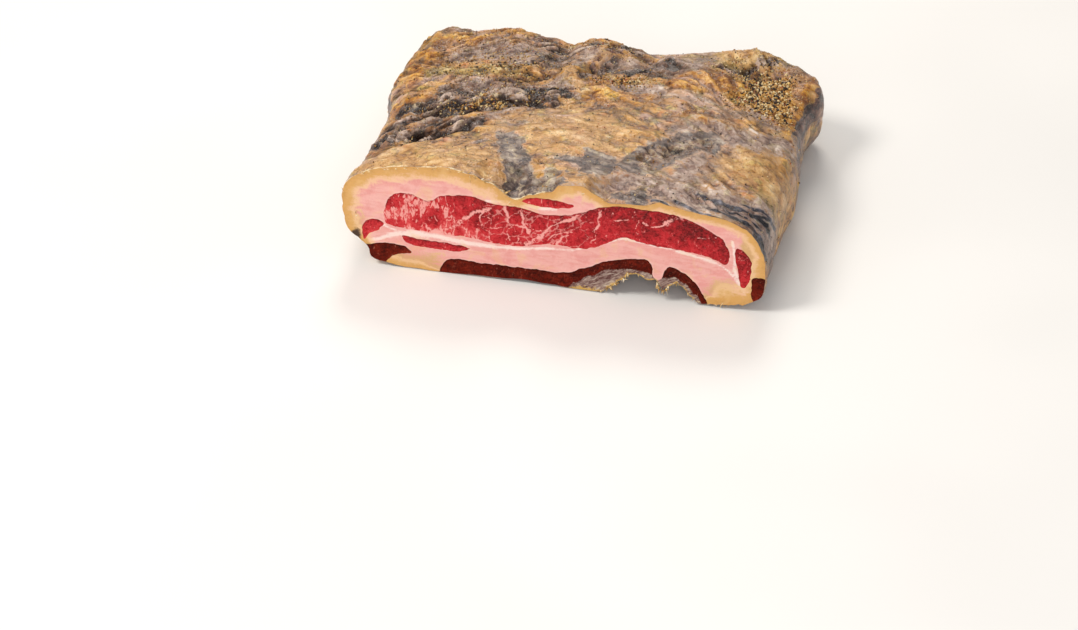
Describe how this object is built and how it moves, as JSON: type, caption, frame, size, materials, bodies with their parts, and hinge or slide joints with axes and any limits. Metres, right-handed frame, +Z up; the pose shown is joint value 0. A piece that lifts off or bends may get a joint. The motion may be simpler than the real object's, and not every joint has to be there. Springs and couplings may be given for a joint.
{
  "type": "pancetta",
  "caption": "Flat slab of cured pork belly with a wrinkled dried skin and one straight cut face that shows layers of lean and fat.",
  "frame": {"origin": "middle of the underside of the slab's box", "axes": "+X to the right along the cut face, +Y from the cut face towards the uncut end, +Z up"},
  "size_m": [0.2161, 0.1798, 0.0591],
  "materials": {
    "cured_fat": "cured fat under a dried, wrinkled, greasy skin",
    "lean": "moist cured lean meat, freshly cut",
    "dried_lean": "dark lean meat, dried near the surface"
  },
  "bodies": {
    "root": {"fat": "cured_fat", "lean_main": "lean", "lean_top": "lean", "lean_streak": "lean", "lean_left": "lean", "lean_corner": "dried_lean", "lean_bottom": "dried_lean", "lean_bottom_end": "dried_lean", "lean_side": "lean", "lean_side_low": "dried_lean"}
  },
  "joints": []
}
